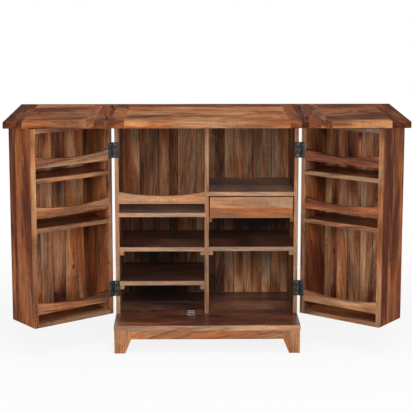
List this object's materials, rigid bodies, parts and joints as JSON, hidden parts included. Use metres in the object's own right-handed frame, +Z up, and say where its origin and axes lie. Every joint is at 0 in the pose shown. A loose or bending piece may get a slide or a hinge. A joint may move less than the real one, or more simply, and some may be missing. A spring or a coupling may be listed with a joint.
{
  "type": "bar cabinet",
  "caption": "Solid wood bar cabinet whose deep shelved doors swing out and carry a fold-out top, over shelves, bottle rails and a drawer.",
  "frame": {"origin": "on the floor, in the middle of the outline of the cabinet as it stands open", "axes": "+Z up, +Y towards the back, +X to the right as seen from the front"},
  "size_m": [1.699, 0.638, 1.0102],
  "materials": {
    "sheesham": "satin lacquered sheesham with strong figure",
    "plank_sheesham": "satin lacquered planks of mixed tone",
    "light_sheesham": "satin lacquered sheesham, lighter",
    "dark_sheesham": "satin lacquered sheesham, dark red-brown",
    "blackened_iron": "blackened, rubbed bright on the knuckles",
    "catch_case": "moulded",
    "steel": "zinc plated"
  },
  "bodies": {
    "cabinet": {"aprons_long": "sheesham", "aprons_side": "sheesham", "back_planks": "plank_sheesham", "base_board": "sheesham", "bottle_rail": "light_sheesham", "catch_bodies": "catch_case", "catch_poles": "steel", "cleats": "light_sheesham", "divider": "light_sheesham", "drawer_runners": "sheesham", "hinge_fixed_plates": "blackened_iron", "hinge_pins": "blackened_iron", "legs_back": "sheesham", "legs_front": "sheesham", "shelf_left_lower": "light_sheesham", "shelf_left_middle": "light_sheesham", "shelf_left_upper": "light_sheesham", "shelf_right_lower": "light_sheesham", "shelf_right_upper": "light_sheesham", "side_panel_left": "sheesham", "side_panel_right": "sheesham", "top_core": "sheesham", "top_end_left": "dark_sheesham", "top_end_right": "dark_sheesham"},
    "left_door": {"left_door_bottom_board": "sheesham", "left_door_free_stile": "sheesham", "left_door_hinge_plates": "blackened_iron", "left_door_hinge_stile": "sheesham", "left_door_knob": "blackened_iron", "left_door_planks": "plank_sheesham", "left_door_rail_lower": "light_sheesham", "left_door_rail_middle": "light_sheesham", "left_door_rail_upper": "light_sheesham", "left_door_shelves": "light_sheesham", "left_door_strike": "steel", "left_door_top_board": "sheesham"},
    "right_door": {"right_door_bottom_board": "sheesham", "right_door_free_stile": "sheesham", "right_door_hinge_plates": "blackened_iron", "right_door_hinge_stile": "sheesham", "right_door_knob": "blackened_iron", "right_door_planks": "plank_sheesham", "right_door_rail_lower": "light_sheesham", "right_door_rail_middle": "light_sheesham", "right_door_rail_upper": "light_sheesham", "right_door_shelves": "light_sheesham", "right_door_strike": "steel", "right_door_top_board": "sheesham"},
    "left_leaf": {"left_leaf_core": "sheesham", "left_leaf_hinge_plates": "blackened_iron", "left_leaf_inner_end": "dark_sheesham", "left_leaf_outer_end": "dark_sheesham"},
    "right_leaf": {"right_leaf_core": "sheesham", "right_leaf_hinge_plates": "blackened_iron", "right_leaf_inner_end": "dark_sheesham", "right_leaf_outer_end": "dark_sheesham"},
    "drawer": {"drawer_back": "sheesham", "drawer_bottom": "sheesham", "drawer_front": "sheesham", "drawer_sides": "sheesham"}
  },
  "joints": [
    {"name": "left_door_hinge", "type": "hinge", "parent": "cabinet", "child": "left_door", "pos_m": [-0.4056, -0.07725, 0.545], "axis": [0, 0, -1], "range_deg": [-143, 37]},
    {"name": "right_door_hinge", "type": "hinge", "parent": "cabinet", "child": "right_door", "pos_m": [0.4056, -0.07725, 0.545], "axis": [0, 0, 1], "range_deg": [-143, 37]},
    {"name": "left_leaf_hinge", "type": "hinge", "parent": "cabinet", "child": "left_leaf", "pos_m": [-0.425, 0.01025, 1.00625], "axis": [0, -1, 0], "range_deg": [-180, 0]},
    {"name": "right_leaf_hinge", "type": "hinge", "parent": "cabinet", "child": "right_leaf", "pos_m": [0.425, 0.01025, 1.00625], "axis": [0, 1, 0], "range_deg": [-180, 0]},
    {"name": "drawer_slide", "type": "slide", "parent": "cabinet", "child": "drawer", "axis": [0, -1, 0], "range_m": [0, 0.26]}
  ]
}
